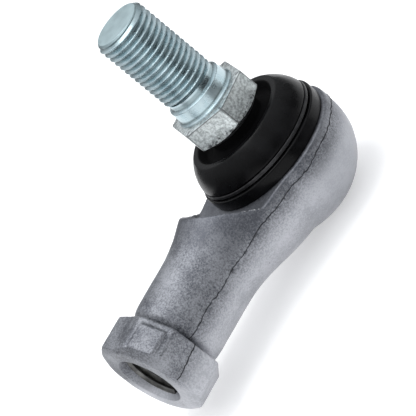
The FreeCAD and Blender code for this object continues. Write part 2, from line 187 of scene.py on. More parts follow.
def lathe(name, corners, steps=128, closed=False, rounding=5):
    points = [Vector((radius, 0, height)) * mm for radius, height in roundedOutline(corners, rounding)]
    piece = drawOutline(name, points)
    if closed:
        pick(piece, "VERT", lambda v: v.index in (0, len(points) - 1))
        bpy.ops.mesh.edge_face_add()
    takeUp(piece)
    bpy.ops.object.mode_set(mode="EDIT")
    bpy.ops.mesh.select_all(action="SELECT")
    bpy.ops.mesh.spin(steps=steps, angle=turn, use_auto_merge=True, center=(0, 0, 0), axis=(0, 0, 1))
    bpy.ops.object.mode_set(mode="OBJECT")
    return faceOut(piece)


def layAlongArm(piece, mouth):
    piece.data.transform(Matrix.Rotation(turn / 4, 4, "Y"))
    piece.data.transform(Matrix.Translation((mouth, 0, 0)))
    return piece


def startMaterial(name):
    material = bpy.data.materials.new(name)
    material.use_nodes = True
    tree = material.node_tree
    shader = tree.nodes["Principled BSDF"]
    place = tree.nodes.new("ShaderNodeTexCoord").outputs["Object"]
    return material, tree, shader, place


def join(tree, source, target):
    if hasattr(source, "is_output"):
        tree.links.new(source, target)
    else:
        target.default_value = source


def speckle(tree, place, size, detail=3, rough=0.6, stretch=None, lean=(0, 0, 0)):
    if stretch:
        mapping = tree.nodes.new("ShaderNodeMapping")
        mapping.inputs["Scale"].default_value = stretch
        mapping.inputs["Rotation"].default_value = lean
        tree.links.new(place, mapping.inputs["Vector"])
        place = mapping.outputs["Vector"]
    grain = tree.nodes.new("ShaderNodeTexNoise")
    grain.inputs["Scale"].default_value = 1 / (size * mm)
    grain.inputs["Detail"].default_value = detail
    grain.inputs["Roughness"].default_value = rough
    tree.links.new(place, grain.inputs["Vector"])
    return grain.outputs["Fac"]


def fade(tree, value, low, high, start=0.0, end=1.0):
    ranges = tree.nodes.new("ShaderNodeMapRange")
    ranges.interpolation_type = "SMOOTHSTEP"
    for socket, number in zip(("From Min", "From Max", "To Min", "To Max"), (low, high, start, end)):
        ranges.inputs[socket].default_value = number
    tree.links.new(value, ranges.inputs["Value"])
    return ranges.outputs["Result"]


def sums(tree, operation, first, second=0.0):
    maths = tree.nodes.new("ShaderNodeMath")
    maths.operation = operation
    join(tree, first, maths.inputs[0])
    join(tree, second, maths.inputs[1])
    return maths.outputs["Value"]


def times(tree, first, second):
    return sums(tree, "MULTIPLY", first, second)


def tint(tree, share, first, second):
    mix = tree.nodes.new("ShaderNodeMix")
    mix.data_type = "RGBA"
    join(tree, share, mix.inputs["Factor"])
    for colour, socket in ((first, mix.inputs[6]), (second, mix.inputs[7])):
        join(tree, (*colour, 1) if isinstance(colour, tuple) else colour, socket)
    return mix.outputs[2]


def axisPart(tree, place, axis):
    split = tree.nodes.new("ShaderNodeSeparateXYZ")
    tree.links.new(place, split.inputs["Vector"])
    return split.outputs[axis]


def fromAxis(tree, place):
    across, along = axisPart(tree, place, "X"), axisPart(tree, place, "Y")
    return sums(tree, "SQRT", sums(tree, "ADD", times(tree, across, across), times(tree, along, along)))


# 1 between the two edges, each given as where it starts and ends in mm
def band(tree, value, lowEdge, highEdge):
    rise = fade(tree, value, lowEdge[0] * mm, lowEdge[1] * mm)
    return times(tree, rise, fade(tree, value, highEdge[1] * mm, highEdge[0] * mm))


def dents(tree, shader, height, depth, strength=1.0):
    bump = tree.nodes.new("ShaderNodeBump")
    bump.inputs["Distance"].default_value = depth * mm
    bump.inputs["Strength"].default_value = strength
    tree.links.new(height, bump.inputs["Height"])
    tree.links.new(bump.outputs["Normal"], shader.inputs["Normal"])


def edges(tree, low, high):
    geometry = tree.nodes.new("ShaderNodeNewGeometry")
    return fade(tree, geometry.outputs["Pointiness"], low, high)


castFinish = {
    "dark": (0.085, 0.09, 0.105), "light": (0.33, 0.34, 0.365), "smoothAndLitTone": (0.54, 0.545, 0.58),
    "bareAndHighlight": (0.80, 0.81, 0.82), "sootAndShade": (0.035, 0.036, 0.04), "roughness": (0.42, 0.62), "metallic": 0.82,
    "grainMm": 0.42, "cloudMm": 7.0, "scuffMm": 3.1, "markMm": 1.9, "patchMm": 12.0, "reliefMm": 0.05,
    "lineMm": 1.1, "headFrom": (-16, -2), "saddleFrom": (-36, -25), "rimReach": (27.5, 26.0),
}


def castAluminium(name="castAluminium", darker=1.0):
    material, tree, shader, place = startMaterial(name)
    along, height = axisPart(tree, place, "X"), axisPart(tree, place, "Z")
    grain = speckle(tree, place, castFinish["grainMm"], 4, 0.75)
    cloud = speckle(tree, place, castFinish["cloudMm"], 5, 0.6)
    marks = speckle(tree, place, castFinish["markMm"], 6, 0.8)
    patch = speckle(tree, place, castFinish["patchMm"], 2, 0.5)
    scuffs = speckle(tree, place, castFinish["scuffMm"], 5, 0.72, (2.2, 0.6, 1.0), (0.5, 0.3, 0.9))
    tone = fade(tree, sums(tree, "ADD", times(tree, grain, 0.62), times(tree, cloud, 0.38)), 0.38, 0.62)

    # paler under the die line, partly for a smoother skin and partly as painted light from the floor below,
    # and darker beside the saddle as painted shade
    start, end = castFinish["saddleFrom"]
    shadeBesideSaddle = times(tree, fade(tree, along, start * mm, end * mm, 0.0, 0.5),
                         fade(tree, height, 1.0 * mm, 4.0 * mm))
    upper = tint(tree, tone, castFinish["dark"], castFinish["light"])
    upper = tint(tree, shadeBesideSaddle, upper, castFinish["dark"])
    lower = tint(tree, fade(tree, tone, 0.0, 1.0, 0.1, 0.9), castFinish["light"], castFinish["smoothAndLitTone"])
    start, end = castFinish["headFrom"]
    lower = tint(tree, fade(tree, along, start * mm, end * mm, 0.0, 0.5), lower, castFinish["light"])
    wander = times(tree, sums(tree, "SUBTRACT", cloud, 0.5), 5 * mm)
    under = fade(tree, sums(tree, "ADD", height, wander), 1.5 * mm, -5.0 * mm)
    colour = tint(tree, under, upper, lower)

    # bare metal in scuffs, and a painted highlight along the rim of the saddle
    worn = times(tree, fade(tree, scuffs, 0.69, 0.75), fade(tree, grain, 0.48, 0.62))
    start, end = castFinish["rimReach"]
    onRim = times(tree, fade(tree, height, 2.0 * mm, 3.5 * mm),
                  fade(tree, fromAxis(tree, place), start * mm, end * mm, 0.0, 0.8))
    wearAndHighlight = sums(tree, "MAXIMUM", worn, times(tree, edges(tree, 0.53, 0.575), onRim))
    colour = tint(tree, wearAndHighlight, colour, castFinish["bareAndHighlight"])

    # soot in patches, darker along the die line, and painted shade in creases
    sootAndShade = times(tree, fade(tree, marks, 0.61, 0.68), fade(tree, patch, 0.50, 0.60))
    offLine = sums(tree, "ABSOLUTE", sums(tree, "SUBTRACT", height, castFinish["lineMm"] * mm))
    nearLine = times(tree, fade(tree, offLine, 0.9 * mm, 0.1 * mm), fade(tree, marks, 0.52, 0.62))
    creaseShade = times(tree, edges(tree, 0.487, 0.45), 0.7)
    sootAndShade = sums(tree, "MAXIMUM", sums(tree, "MAXIMUM", sootAndShade, nearLine), creaseShade)
    colour = tint(tree, times(tree, sootAndShade, 0.85), colour, castFinish["sootAndShade"])
    if darker != 1.0:
        colour = tint(tree, 1 - darker, colour, castFinish["sootAndShade"])

    tree.links.new(colour, shader.inputs["Base Color"])
    tree.links.new(fade(tree, grain, 0.3, 0.7, *castFinish["roughness"]), shader.inputs["Roughness"])
    shader.inputs["Metallic"].default_value = castFinish["metallic"]
    dents(tree, shader, sums(tree, "ADD", grain, times(tree, marks, 0.8)), castFinish["reliefMm"], 0.8)
    return material


zincFinish = {
    "thread": (0.37, 0.48, 0.52), "threadPale": (0.56, 0.67, 0.70), "root": (0.12, 0.17, 0.18),
    "hexagon": (0.36, 0.395, 0.40), "hexagonPale": (0.74, 0.79, 0.79), "pitAndEdgeShade": (0.05, 0.05, 0.055),
    "tip": (0.40, 0.50, 0.52), "rootMm": 6.15, "crestMm": 6.75, "metallic": 0.92,
    "cloudMm": 2.6, "grainMm": 0.30, "mottleMm": 0.75, "pitMm": 1.0, "reliefMm": 0.018,
    "cornerLine": (0.032, 0.016),  # radians from a corner
}


def zincPlate(name="zincPlate"):
    material, tree, shader, place = startMaterial(name)
    height, reach = axisPart(tree, place, "Z"), fromAxis(tree, place)
    cloud = speckle(tree, place, zincFinish["cloudMm"], 4, 0.6, (1, 1, 0.5))
    grain = speckle(tree, place, zincFinish["grainMm"], 3, 0.7)
    mottle = speckle(tree, place, zincFinish["mottleMm"], 4, 0.75)
    pitting = speckle(tree, place, zincFinish["pitMm"], 4, 0.75)
    hexFoot, threadFrom, tip = stud["hexFoot"], stud["threadFrom"], stud["tip"]
    hexTop = hexFoot + stud["hexHeight"]

    # painted shade and dark reflection in the thread's roots, the relief and the corner over the hexagon
    thread = tint(tree, fade(tree, cloud, 0.25, 0.75), zincFinish["thread"], zincFinish["threadPale"])
    deep = fade(tree, reach, zincFinish["crestMm"] * mm, zincFinish["rootMm"] * mm, 0.0, 0.4)
    inThread = band(tree, height, (threadFrom - 0.1, threadFrom + 0.2), (tip - 1.4, tip - 1.2))
    thread = tint(tree, times(tree, deep, inThread), thread, zincFinish["root"])
    inRelief = band(tree, height, (stud["collarTop"] + 0.1, stud["collarTop"] + 0.4),
                    (threadFrom - 0.3, threadFrom + 0.1))
    overHexagon = times(tree, fade(tree, height, (hexTop + 1.55) * mm, (hexTop + 1.3) * mm),
                        fade(tree, reach, (stud["ring"] - 0.2) * mm, (stud["ring"] - 0.4) * mm))
    shaded = times(tree, sums(tree, "MAXIMUM", inRelief, overHexagon), 0.55)
    thread = tint(tree, shaded, thread, zincFinish["root"])

    # the hexagon is mottled, with pits low on its sides
    hexagon = tint(tree, fade(tree, mottle, 0.36, 0.62), zincFinish["hexagon"], zincFinish["hexagonPale"])
    low = fade(tree, height, (hexFoot + 3.0) * mm, (hexFoot + 0.3) * mm)
    hexagon = tint(tree, times(tree, fade(tree, pitting, 0.52, 0.57), low), hexagon, zincFinish["pitAndEdgeShade"])
    onHexagon = fade(tree, height, (hexTop + 0.3) * mm, (hexTop + 0.1) * mm)
    colour = tint(tree, onHexagon, thread, hexagon)
    onTip = fade(tree, height, (tip - 0.5) * mm, (tip - 0.1) * mm, 0.0, 0.8)
    colour = tint(tree, onTip, colour, zincFinish["tip"])

    # painted shade: dark lines along the hexagon's corners and upper rim, and on the chamfer at the tip
    angle = sums(tree, "ARCTAN2", axisPart(tree, place, "Y"), axisPart(tree, place, "X"))
    fromFirst = sums(tree, "SUBTRACT", angle, math.radians(stud["hexTurn"]))
    cornerLine = fade(tree, sums(tree, "PINGPONG", fromFirst, turn / 12), *zincFinish["cornerLine"])
    rimLine = band(tree, height, (hexTop - 0.32, hexTop - 0.22), (hexTop - 0.06, hexTop - 0.02))
    side = stud["hexFlats"] / 2
    onSide = fade(tree, reach, (side - 0.3) * mm, (side - 0.15) * mm, 0.0, 0.6)
    edgeLine = times(tree, sums(tree, "MAXIMUM", cornerLine, rimLine), times(tree, onHexagon, onSide))
    colour = tint(tree, edgeLine, colour, zincFinish["pitAndEdgeShade"])
    chamferFrom = stud["tipRadius"] - 0.05
    onChamfer = times(tree, fade(tree, height, (tip - 1.3) * mm, (tip - 1.0) * mm),
                      fade(tree, reach, chamferFrom * mm, (chamferFrom + 0.2) * mm, 0.0, 0.5))
    colour = tint(tree, onChamfer, colour, zincFinish["root"])

    tree.links.new(colour, shader.inputs["Base Color"])
    gloss = fade(tree, cloud, 0.35, 0.65, 0.24, 0.36)
    gloss = sums(tree, "ADD", gloss, times(tree, onHexagon, 0.12))
    gloss = sums(tree, "ADD", gloss, times(tree, onTip, 0.3))
    tree.links.new(gloss, shader.inputs["Roughness"])
    shader.inputs["Metallic"].default_value = zincFinish["metallic"]
    dents(tree, shader, sums(tree, "ADD", grain, cloud), zincFinish["reliefMm"], 0.7)
    return material


rubberFinish = {
    "dark": (0.002, 0.002, 0.0023), "worn": (0.005, 0.005, 0.0056), "dust": (0.13, 0.13, 0.14),
    "dustMm": 0.5, "cloudMm": 5.0, "specular": 0.11, "reliefMm": 0.02,
    "mouthReach": (11.9, 11.2), "mouthRougher": 0.55,
}


def blackRubber(name="blackRubber"):
    material, tree, shader, place = startMaterial(name)
    dust = speckle(tree, place, rubberFinish["dustMm"], 4, 0.75)
    cloud = speckle(tree, place, rubberFinish["cloudMm"], 3, 0.6)
    specks = times(tree, fade(tree, dust, 0.66, 0.74), fade(tree, cloud, 0.50, 0.65))
    colour = tint(tree, fade(tree, cloud, 0.35, 0.65), rubberFinish["dark"], rubberFinish["worn"])
    colour = tint(tree, times(tree, specks, 0.7), colour, rubberFinish["dust"])
    tree.links.new(colour, shader.inputs["Base Color"])
    start, end = rubberFinish["mouthReach"]
    mouth = fade(tree, fromAxis(tree, place), start * mm, end * mm, 0.0, rubberFinish["mouthRougher"])
    gloss = sums(tree, "ADD", fade(tree, cloud, 0.3, 0.7, 0.24, 0.34), mouth)
    tree.links.new(gloss, shader.inputs["Roughness"])
    shader.inputs["Specular IOR Level"].default_value = rubberFinish["specular"]
    dents(tree, shader, dust, rubberFinish["reliefMm"], 0.5)
    return material


def plainMetal(name, dark, light, roughness, grainMm=0.4, metallic=0.95):
    material, tree, shader, place = startMaterial(name)
    grain = speckle(tree, place, grainMm, 4, 0.7)
    cloud = speckle(tree, place, grainMm * 9, 3, 0.6)
    tree.links.new(tint(tree, fade(tree, cloud, 0.35, 0.65), dark, light), shader.inputs["Base Color"])
    tree.links.new(fade(tree, grain, 0.3, 0.7, *roughness), shader.inputs["Roughness"])
    shader.inputs["Metallic"].default_value = metallic
    dents(tree, shader, grain, 0.012, 0.6)
    return material


def dress(piece, material):
    piece.data.materials.clear()
    piece.data.materials.append(material)


view = {
    "azimuth": -20.85, "elevation": 23.15, "roll": -51.17,  # degrees
    "distance": 585.8, "aside": 6.25, "above": -3.77,  # mm from the middle of the object
    "lens": 228.4,
}
azimuth, elevation, roll = (math.radians(view[key]) for key in ("azimuth", "elevation", "roll"))
back = Vector((math.sin(azimuth) * math.cos(elevation), -math.cos(azimuth) * math.cos(elevation),
               math.sin(elevation)))
level = Vector((0, 0, 1)).cross(back).normalized()
upright = back.cross(level)
viewRight = math.cos(roll) * level + math.sin(roll) * upright
viewUp = math.cos(roll) * upright - math.sin(roll) * level


def addCamera():
    putDown()
    place = middle + (viewRight * view["aside"] + viewUp * view["above"] + back * view["distance"]) * mm
    bpy.ops.object.camera_add(location=place)
    camera = bpy.context.object
    facing = Matrix((viewRight, viewUp, back)).transposed().to_4x4()
    camera.matrix_world = Matrix.Translation(place) @ facing
    camera.data.lens = view["lens"]
    camera.data.clip_end = 10
    bpy.context.scene.camera = camera


sky = {"level": 0.10, "zenith": 1.2}
lights = [  # name, right, up and towards the camera in mm, size in mm, watts
    ("keyBox", -330, 260, 160, 260, 0.85),
    ("sideBox", 360, 160, 60, 260, 0.5),
    ("frontBox", -60, -340, 380, 200, 0.12),
]


def addLights():
    for name, aside, above, nearer, size, watts in lights:
        putDown()
        offset = (viewRight * aside + viewUp * above + back * nearer) * mm
        bpy.ops.object.light_add(type="AREA", location=middle + offset)
        lamp = bpy.context.object
        lamp.name = name
        lamp.rotation_euler = offset.to_track_quat("Z", "Y").to_euler()
        lamp.data.size = size * mm
        lamp.data.energy = watts
    world = bpy.data.worlds.new("studio")
    bpy.context.scene.world = world
    world.use_nodes = True
    tree = world.node_tree
    ray = tree.nodes.new("ShaderNodeTexCoord").outputs["Generated"]
    background = tree.nodes["Background"]
    background.inputs["Color"].default_value = (0.95, 0.97, 1.0, 1)
    glow = fade(tree, axisPart(tree, ray, "Z"), 0.0, 0.85, sky["level"], sky["zenith"])
    tree.links.new(glow, background.inputs["Strength"])


def addFloor():
    putDown()
    bpy.ops.mesh.primitive_plane_add(size=6, location=(0, 0, headLow.z - 0.05 * mm))
    floor = settle("floor")
    material, tree, shader, place = startMaterial("paleFloor")
    shader.inputs["Base Color"].default_value = (0.8, 0.8, 0.8, 1)
    shader.inputs["Roughness"].default_value = 0.9
    shader.inputs["Emission Color"].default_value = (1, 1, 1, 1)
    shader.inputs["Emission Strength"].default_value = 0.4
    dress(floor, material)


cardSize = {"near": 50, "far": 420, "from": 10, "to": 72, "lift": 2}  # mm, and degrees off the camera


def addDarkCard():
    putDown()
    away = Vector((back.x, back.y, 0)).normalized()
    low, high = (Matrix.Rotation(math.radians(cardSize[key]), 3, "Z") @ away for key in ("from", "to"))
    bpy.ops.mesh.primitive_plane_add(size=1)
    card = settle("darkCard")
    corners = [side * cardSize[reach] for reach in ("near", "far") for side in (low, high)]
    for vertex, corner in zip(card.data.vertices, corners):
        vertex.co = corner * mm + Vector((0, 0, headLow.z + cardSize["lift"] * mm))
    material, tree, shader, place = startMaterial("blackFelt")
    shader.inputs["Base Color"].default_value = (0.01, 0.01, 0.01, 1)
    shader.inputs["Roughness"].default_value = 1.0
    dress(card, material)
    card.visible_camera = card.visible_shadow = card.visible_diffuse = False


addCamera()
addLights()
addFloor()
addDarkCard()
bpy.context.scene.view_settings.view_transform = "Standard"
print("camera, light and floor")


housing = {  # mm and degrees, from the ball's centre
    "headRadius": headHigh.x / mm, "domeFlat": 2.2, "domeDrop": 0.6, "rimRound": 0.55,
    "ledge": bootLow.z / mm - 0.05, "mouth": headLow.x / mm,
    "armSections": [  # distance back along the arm, radius, rise
        (-52.0, 10.5, 0.0), (-46.0, 10.5, 0.0), (-40.0, 10.5, 0.0), (-36.0, 10.5, 0.0),
        (-33.0, 10.55, 0.05), (-29.0, 11.0, 0.25), (-25.0, 11.9, 0.45), (-21.0, 13.0, 0.5),
        (-17.0, 14.25, 0.55), (-11.5, 15.5, 0.7), (-6.0, 16.2, 0.9), (-1.0, 16.3, 0.9),
    ],
    "nutHalf": 12.0, "nutLength": 9.4, "sideHalf": 6.6, "topHalf": 4.8, "faceRadius": 10.9,
    "chamferAngle": 28.0, "edgeRound": 0.55,
    "pad": (6.6, 6.6, 0.8), "padInset": 0.9, "padBorder": 0.35, "padCrown": 0.12,
    "saddleFoot": 18.6, "saddleShift": 4.4, "saddleDraft": 13.0, "saddleReach": 26.0,
    "voxel": 0.34, "skin": 0.16, "skinGrain": 3.5,
    "partingRise": 0.9, "flashWire": 0.16, "mismatch": 0.10, "mismatchEdge": 0.12,
}


def shapeArm():
    sections = housing["armSections"]
    putDown()
    bpy.ops.mesh.primitive_circle_add(
        vertices=40, radius=sections[0][1] * mm, fill_type="NGON",
        location=(sections[0][0] * mm, 0, sections[0][2] * mm), rotation=(0, turn / 4, 0))
    arm = settle("armBlank")
    bpy.ops.object.mode_set(mode="EDIT")
    bpy.ops.mesh.select_all(action="SELECT")
    for last, here in zip(sections, sections[1:]):
        step = Vector((here[0] - last[0], 0, here[2] - last[2])) * mm
        bpy.ops.mesh.extrude_region_move(TRANSFORM_OT_translate={"value": step})
        size = here[1] / last[1]
        bpy.ops.transform.resize(value=(1, size, size), center_override=(here[0] * mm, 0, here[2] * mm))
    faceOut(arm)
    return finishWith(arm, "SUBSURF", levels=2, render_levels=2)


def shapeHead():
    radius, ledge = housing["headRadius"], housing["ledge"]
    dome = radius - housing["domeFlat"]
    bottom = -housing["domeDrop"] - dome
    head = lathe("headBlank", [
        (0, bottom), (radius, bottom, dome), (radius, ledge, housing["rimRound"]), (0, ledge)],
        steps=160, rounding=28)
    return head


def shapeSocketEnd():
    half, length = housing["nutHalf"], housing["nutLength"]
    mouth = housing["mouth"]
    putDown()
    bpy.ops.mesh.primitive_circle_add(
        vertices=8, radius=half / math.cos(turn / 16) * mm, fill_type="NGON",
        location=(mouth * mm, 0, 0), rotation=(0, turn / 4, 0))
    end = settle("socketEnd")
    end.data.transform(Matrix.Rotation(turn / 16, 4, "X"))
    regular = half * math.tan(turn / 16)
    pick(end, "VERT", lambda v: abs(v.co.y) > abs(v.co.z))
    bpy.ops.transform.resize(value=(1, 1, housing["sideHalf"] / regular), center_override=(0, 0, 0))
    pick(end, "VERT", lambda v: abs(v.co.z) > abs(v.co.y))
    bpy.ops.transform.resize(value=(1, housing["topHalf"] / regular, 1), center_override=(0, 0, 0))
    bpy.ops.mesh.select_all(action="SELECT")
    bpy.ops.mesh.extrude_region_move(TRANSFORM_OT_translate={"value": (length * mm, 0, 0)})
    faceOut(end)
    pick(end, "EDGE", lambda e: True)
    bpy.ops.mesh.bevel(offset=housing["edgeRound"] * mm, segments=3, affect="EDGES")
    faceOut(end)
    addPad(end)
    face = housing["faceRadius"]
    slope = 1 / math.tan(math.radians(housing["chamferAngle"]))
    reach = length + 4
    cone = lathe("mouthCone", [(0, 0), (face, 0, 0.3), (face + reach * slope, reach), (0, reach)],
                 steps=160)
    return combine(end, layAlongArm(cone, headLow.x), "INTERSECT")


def addPad(end):
    across = housing["nutHalf"] - housing["topHalf"]
    up = housing["nutHalf"] - housing["sideHalf"]
    length, width, height = housing["pad"]
    putDown()
    bpy.ops.mesh.primitive_cube_add(size=mm, scale=(length, width, height * 2))
    pad = settle("pad")
    pick(pad, "FACE", lambda f: f.normal.z > 0.5)
    bpy.ops.mesh.inset(thickness=housing["padBorder"] * mm)
    bpy.ops.transform.translate(value=(0, 0, housing["padCrown"] * mm))
    bpy.ops.object.mode_set(mode="OBJECT")
    place = Vector((housing["mouth"] + housing["padInset"] + length / 2,
                    -housing["nutHalf"] + across / 2, housing["nutHalf"] - up / 2)) * mm
    pad.data.transform(Matrix.Translation(place) @ Matrix.Rotation(math.atan2(up, across), 4, "X"))
    combine(end, pad, "UNION")


def partingHeight(x):
    along = x / mm
    waves = 0.35 * math.sin(along / 4.1) + 0.25 * math.sin(along / 1.7 + 1.3)
    kink = 0.9 / (1 + math.exp(-(along + 50.5) * 2.2)) - 0.5
    ragged = 0.3 * noise.noise(Vector((along / 1.1, 3, 7)))
    return (housing["partingRise"] + waves * 0.7 + kink + ragged) * mm


def ramp(value, low, high):
    return min(1, max(0, (value - low) / (high - low)))


softer = [  # group, passes and where it acts, in mm
    ("body", 2, lambda place: ramp(place.x, -52, -50)),
    ("brow", 14, lambda place: ramp(place.z, 4.5, 7.5) * ramp(place.x, -32, -29)),
    ("neck", 10, lambda place: ramp(place.x, -50, -47) * ramp(place.x, -2, -8)),
]


def castOutside():
    cast = combine(shapeHead(), shapeArm(), "UNION")
    draft = math.tan(math.radians(housing["saddleDraft"]))
    foot, ledge, reach = housing["saddleFoot"], housing["ledge"], housing["saddleReach"]
    for aside, lift in ((0, 0.0), (housing["saddleShift"], 0.05)):  # the lift keeps the floors apart
        floor, top = ledge + lift, reach + lift
        hollow = lathe("saddleHollow", [
            (0, floor), (foot, floor, 0.8), (foot + (top - floor) * draft, top), (0, top)], steps=150)
        hollow.data.transform(Matrix.Translation((-aside * mm, 0, 0)))
        combine(cast, hollow, "DIFFERENCE")
    combine(cast, shapeSocketEnd(), "UNION")
    finishWith(cast, "REMESH", mode="VOXEL", voxel_size=housing["voxel"] * mm)
    for name, passes, share in softer:
        group = cast.vertex_groups.new(name=name)
        for vertex in cast.data.vertices:
            group.add([vertex.index], share(vertex.co / mm), "REPLACE")
    finishWith(cast, "SMOOTH", factor=0.5, iterations=1)
    for name, passes, share in softer:
        finishWith(cast, "SMOOTH", factor=0.5, iterations=passes, vertex_group=name)
    finishWith(cast, "DISPLACE", texture=texture("castSkin", housing["skinGrain"] * mm),
               texture_coords="LOCAL", strength=housing["skin"] * mm, mid_level=0.5)
    cast.vertex_groups.clear()
    return cast


def mismatchHalves(cast):
    for vertex in cast.data.vertices:  # the two halves of the die never meet quite in line
        above = vertex.co.z - partingHeight(vertex.co.x)
        outward = Vector((0, vertex.co.y, vertex.co.z)).normalized()
        step = 0.5 + 0.5 * math.tanh(above / (housing["mismatchEdge"] * mm))
        vertex.co += outward * step * housing["mismatch"] * mm * min(1, abs(vertex.co.y) / (6 * mm))


def shapeFlash(cast):
    flash = copyOf(cast, "partingFlash")
    pick(flash, "FACE", lambda f: True)
    bpy.ops.mesh.bisect(plane_co=(0, 0, housing["partingRise"] * mm), plane_no=(0, 0, 1),
                        clear_inner=True, clear_outer=True)
    pick(flash, "VERT", lambda v: v.co.x < headLow.x + 0.35 * mm)
    bpy.ops.mesh.delete(type="VERT")
    bpy.ops.object.mode_set(mode="OBJECT")
    for vertex in flash.data.vertices:
        vertex.co.z = partingHeight(vertex.co.x)
    finishWith(flash, "SHRINKWRAP", target=cast, wrap_method="NEAREST_SURFACEPOINT", offset=0)
    bpy.ops.object.convert(target="CURVE")
    flash = bpy.context.object
    flash.data.bevel_depth = housing["flashWire"] * mm
    flash.data.bevel_resolution = 1
    flash.data.use_fill_caps = True
    bpy.ops.object.convert(target="MESH")
    flash = bpy.context.object
    finishWith(flash, "DISPLACE", texture=texture("ragged", 0.7 * mm), texture_coords="LOCAL",
               strength=0.28 * mm, mid_level=0.55)
    return faceOut(flash)


bore = {  # heights from the ball's centre, and the socket's depths from its mouth
    "floor": -12.53, "recess": 6.83, "shelf": -11.03, "footRadius": 7.23, "taper": -5.03, "radius": 12.03,
    "clip": (6.04, 7.32, 13.03), "spigot": 14.8, "spigotTop": 8.4,
    "socketRoot": 7.05, "sinkRadius": 7.4, "sinkDepth": 1.2, "socketDepth": 28.0,
    "threadRoot": 7.15, "threadCrest": 6.37, "threadInset": 0.1,
    "point": 3.6, "pitch": 1.5,
}


def cutBores(cast):
    spigot = lathe("spigot", [
        (0, 0), (bore["spigot"], 0), (bore["spigot"], bore["spigotTop"], 0.3), (0, bore["spigotTop"])])
    combine(cast, spigot, "UNION")
    low, high, groove = bore["clip"]
    seatBore = lathe("seatBore", [
        (0, bore["floor"]), (bore["recess"], bore["floor"]), (bore["recess"], bore["shelf"]),
        (bore["footRadius"], bore["shelf"]), (bore["radius"], bore["taper"]), (bore["radius"], low),
        (groove, low), (groove, high), (bore["radius"], high), (bore["radius"], bore["spigotTop"] + 1),
        (0, bore["spigotTop"] + 1)])
    combine(cast, seatBore, "DIFFERENCE")
    root, sink = bore["socketRoot"], bore["sinkRadius"]
    socket = lathe("socket", [
        (0, -1), (sink + 1.0, -1), (root, bore["sinkDepth"]), (root, bore["socketDepth"]),
        (0, bore["socketDepth"] + bore["point"])])
    combine(cast, layAlongArm(socket, headLow.x), "DIFFERENCE")
    return cast


def screwThread(name, ridge, pitch, turns, start, steps=72):
    thread = drawOutline(name, [Vector((radius, 0, start + share * pitch)) * mm for radius, share in ridge])
    finishWith(thread, "SCREW", axis="Z", angle=turn, screw_offset=pitch * mm, iterations=turns,
               steps=steps, render_steps=steps, use_smooth_shade=True)
    return faceOut(thread, 0.01 * mm)


def trimThread(thread, low, high):
    for height, side in ((low, {"clear_inner": True}), (high, {"clear_outer": True})):
        pick(thread, "FACE", lambda f: True)
        bpy.ops.mesh.bisect(plane_co=(0, 0, height * mm), plane_no=(0, 0, 1), use_fill=True, **side)
        bpy.ops.object.mode_set(mode="OBJECT")
    return faceOut(thread)


def shapeSocketThread():
    root, crest, pitch = bore["threadRoot"], bore["threadCrest"], bore["pitch"]
    ridge = [(root, 0), (root - 0.06, 0.10), (crest + 0.05, 0.38), (crest, 0.43), (crest, 0.57),
             (crest + 0.05, 0.62), (root - 0.06, 0.90), (root, 1.0)]
    turns = int((bore["socketDepth"] - bore["sinkDepth"]) / pitch) - 1
    start = bore["sinkDepth"] + bore["threadInset"]
    thread = screwThread("socketThread", ridge, pitch, turns, start, steps=64)
    takeUp(thread)
    bpy.ops.object.mode_set(mode="EDIT")
    bpy.ops.mesh.select_all(action="SELECT")
    bpy.ops.mesh.flip_normals()
    bpy.ops.object.mode_set(mode="OBJECT")
    finishWith(thread, "SOLIDIFY", thickness=0.12 * mm, offset=-1)
    return layAlongArm(thread, headLow.x)


castMetal = castAluminium()
cast = castOutside()
print("cast outside", len(cast.data.polygons), "faces")
mismatchHalves(cast)
flash = shapeFlash(cast)
print("parting flash", len(flash.data.polygons), "faces")
cutBores(cast)
cast.name = "castHousing"
smooth(cast, 40)
dress(cast, castMetal)
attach(cast, "housing")
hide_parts("housing")
smooth(flash, 60)
dress(flash, castAluminium("flashMetal", darker=0.05))
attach(flash, "housing")
socketThread = shapeSocketThread()
smooth(socketThread, 35)
# the cut thread inside the socket is coloured nearly black as painted shade of the bore
dress(socketThread, plainMetal("shadedCutThread", (0.06, 0.06, 0.058), (0.16, 0.16, 0.155), (0.35, 0.5)))
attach(socketThread, "housing")
print("housing", len(cast.data.polygons), "faces")


stud = {
    "weld": studLow.z / mm, "tip": studHigh.z / mm, "neck": 5.5, "hexFlats": 19.0, "hexTurn": 9.0,
    "hexFoot": bootHigh.z / mm + 0.3, "hexHeight": 6.5, "hexFace": 9.0, "cornerSlope": 30.0, "edge": 0.22,
    "ring": 8.3, "collar": 7.55, "collarTop": 26.9, "relief": 6.65, "threadFrom": 28.4,
    "major": 7.0, "minor": 6.08, "pitch": 1.5, "tipRadius": 5.85, "tipChamfer": 1.15,
}


def shapeHexagon():
    foot, height = stud["hexFoot"], stud["hexHeight"]
    putDown()
    bpy.ops.mesh.primitive_circle_add(
        vertices=6, radius=stud["hexFlats"] / 2 / math.cos(turn / 12) * mm, fill_type="NGON",
        location=(0, 0, foot * mm))
    hexagon = settle("hexagon")
    hexagon.data.transform(Matrix.Rotation(math.radians(stud["hexTurn"]) + turn / 12, 4, "Z"))
    bpy.ops.object.mode_set(mode="EDIT")
    bpy.ops.mesh.select_all(action="SELECT")
    bpy.ops.mesh.extrude_region_move(TRANSFORM_OT_translate={"value": (0, 0, height * mm)})
    faceOut(hexagon)
    pick(hexagon, "EDGE", lambda e: True)
    bpy.ops.mesh.bevel(offset=stud["edge"] * mm, segments=2, affect="EDGES")
    faceOut(hexagon)
    slope = math.tan(math.radians(stud["cornerSlope"]))
    face, wide = stud["hexFace"], stud["hexFlats"]
    envelope = lathe("hexEnvelope", [
        (0, foot), (face, foot, 0.15), (wide, foot + (wide - face) * slope),
        (wide, foot + height + 1), (0, foot + height + 1)], steps=144)
    return combine(hexagon, envelope, "INTERSECT")


